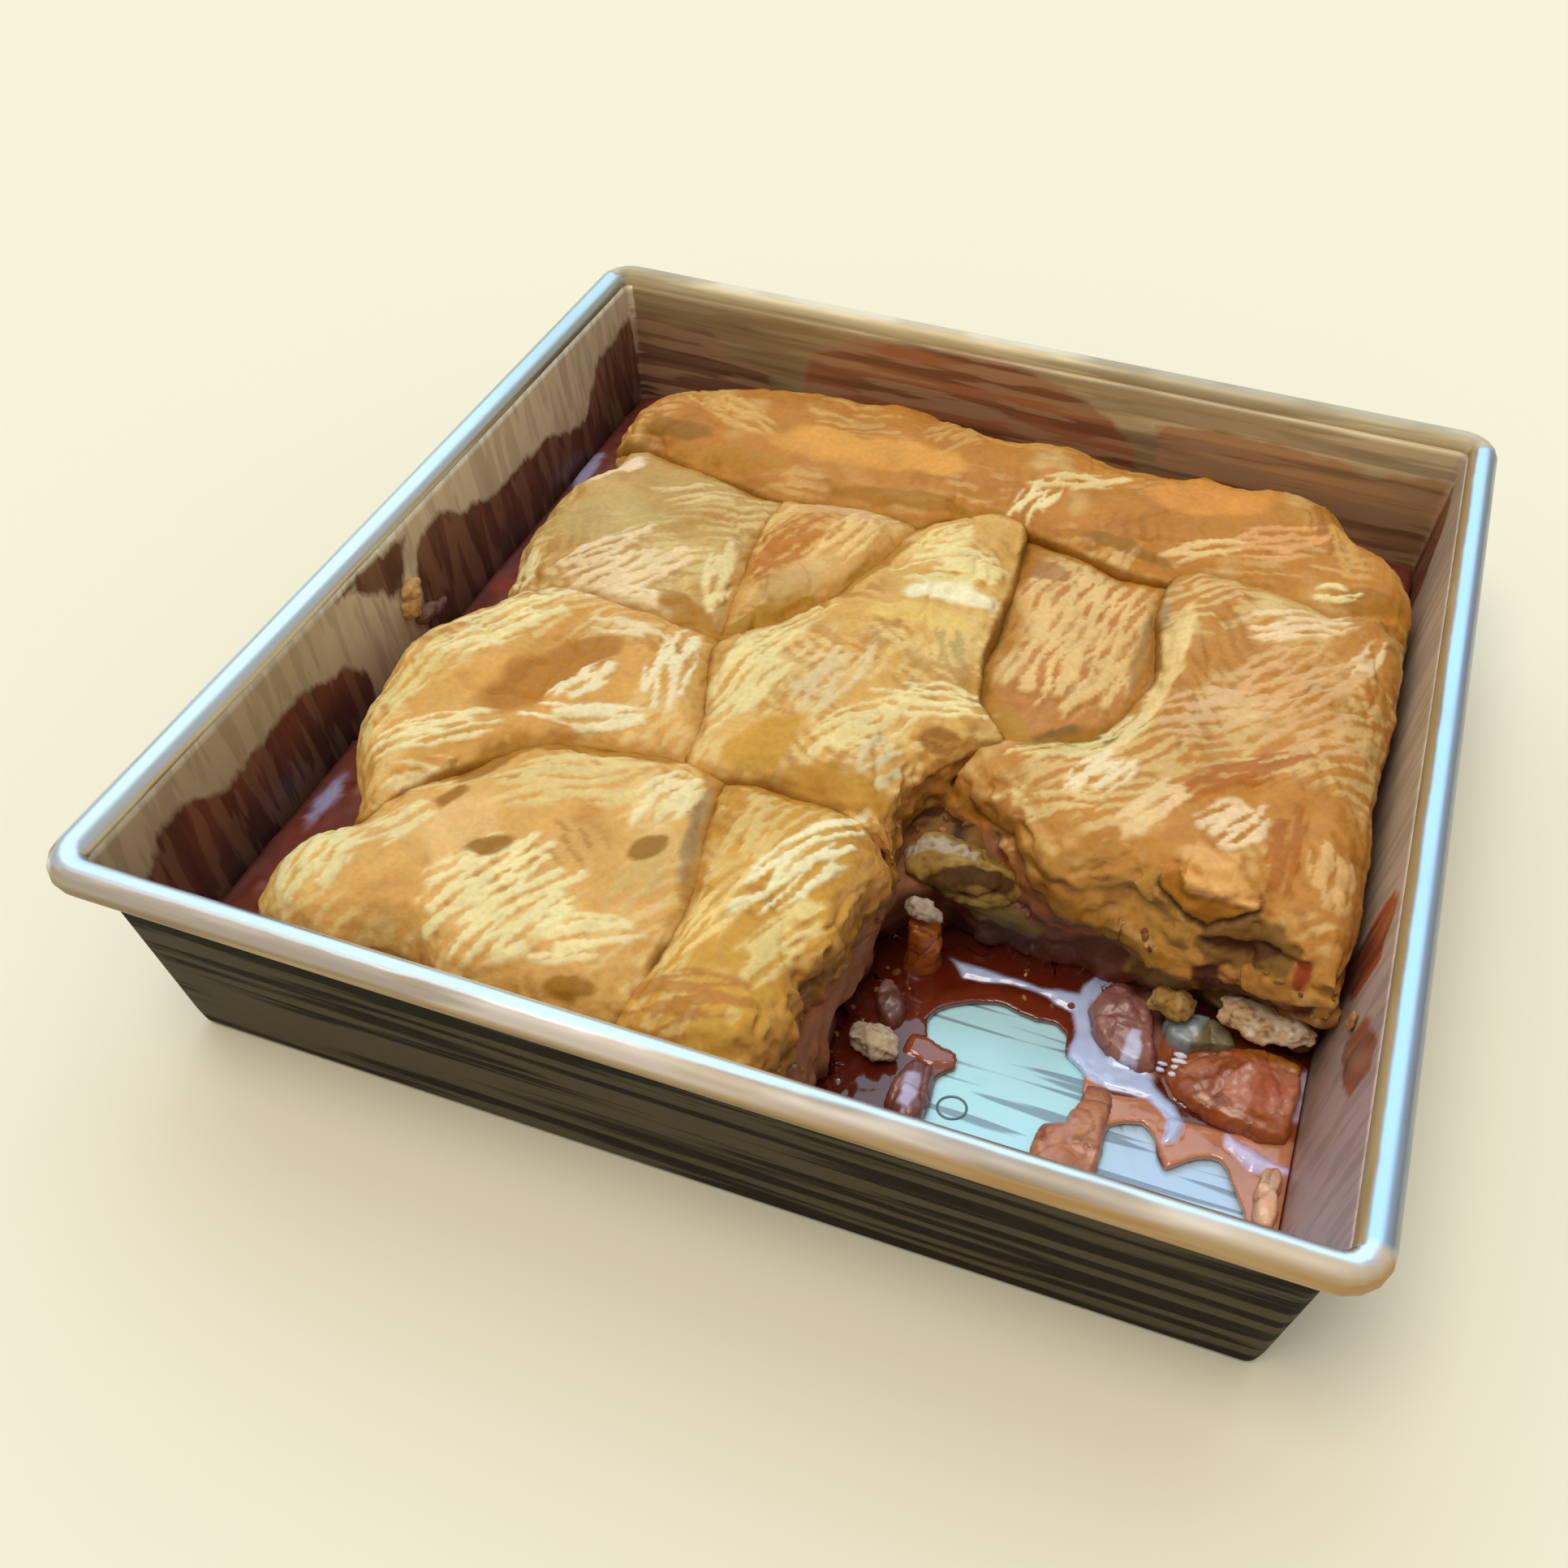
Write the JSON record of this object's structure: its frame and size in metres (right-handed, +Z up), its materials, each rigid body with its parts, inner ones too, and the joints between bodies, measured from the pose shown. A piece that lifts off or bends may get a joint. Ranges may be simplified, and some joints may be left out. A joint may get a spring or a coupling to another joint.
{
  "type": "peach cobbler in square baking tin",
  "caption": "Square metal baking tin of peach cobbler with a golden crust of dough pieces; one serving is scooped out of a corner, down to syrup and bare metal.",
  "frame": {"origin": "on the table, under the middle of the tin", "axes": "+Z up; +X and +Y along the tin's sides, with the scooped corner at +X and -Y"},
  "size_m": [0.244, 0.244, 0.0564],
  "materials": {
    "tin": "worn, browned by baking",
    "crust": "baked dough, matte",
    "filling": "sticky, glossy",
    "peach": "moist, glossy",
    "syrup": "wet, glossy"
  },
  "bodies": {
    "root": {"baking_tin": "tin", "crust_back": "crust", "crust_left_back": "crust", "crust_middle_back": "crust", "crust_middle": "crust", "crust_right_back": "crust", "crust_right": "crust", "crust_left": "crust", "crust_front_left": "crust", "crust_front_middle": "crust", "crust_fragment_right": "crust", "crust_fragment_back": "crust", "crust_fragment_left": "crust", "crust_fragment_notch": "crust", "crust_fragment_mound": "crust", "peach_filling": "filling", "peach_slice_right": "peach", "peach_slice_back": "peach", "peach_slice_small": "peach", "peach_slice_front": "peach", "peach_slice_corner": "peach", "peach_slice_upright": "peach", "peach_slice_left": "peach", "peach_slice_left_back": "peach", "syrup_pool": "syrup"}
  },
  "joints": []
}
